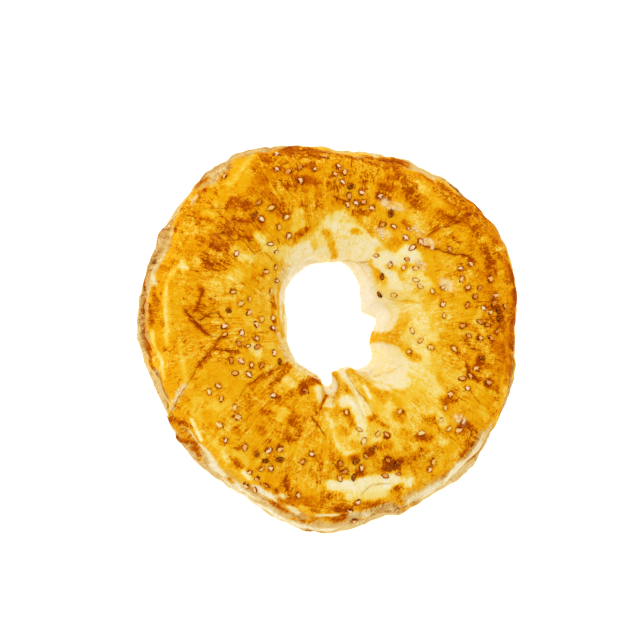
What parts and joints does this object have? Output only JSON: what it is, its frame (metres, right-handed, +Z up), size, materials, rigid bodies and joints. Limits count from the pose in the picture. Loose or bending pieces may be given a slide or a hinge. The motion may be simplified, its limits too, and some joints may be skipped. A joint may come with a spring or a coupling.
{
  "type": "filled bread ring",
  "caption": "Ring of golden filled bread with a domed top, a flat base, folded seams round its hole and sesame seeds baked on.",
  "frame": {"origin": "under the middle of the ring, on the surface that it rests on", "axes": "+Z up through the hole; +Y away from the folded notch of the hole; +X to the right as seen from above with the notch at the bottom"},
  "size_m": [0.1522, 0.1548, 0.0349],
  "materials": {
    "crust": "baked bread crust, golden with browner and paler patches, lightly glossy from egg wash",
    "sesame_seed": "dry toasted sesame seed, from cream to dark brown"
  },
  "bodies": {
    "root": {"bread_ring": "crust"}
  },
  "joints": []
}
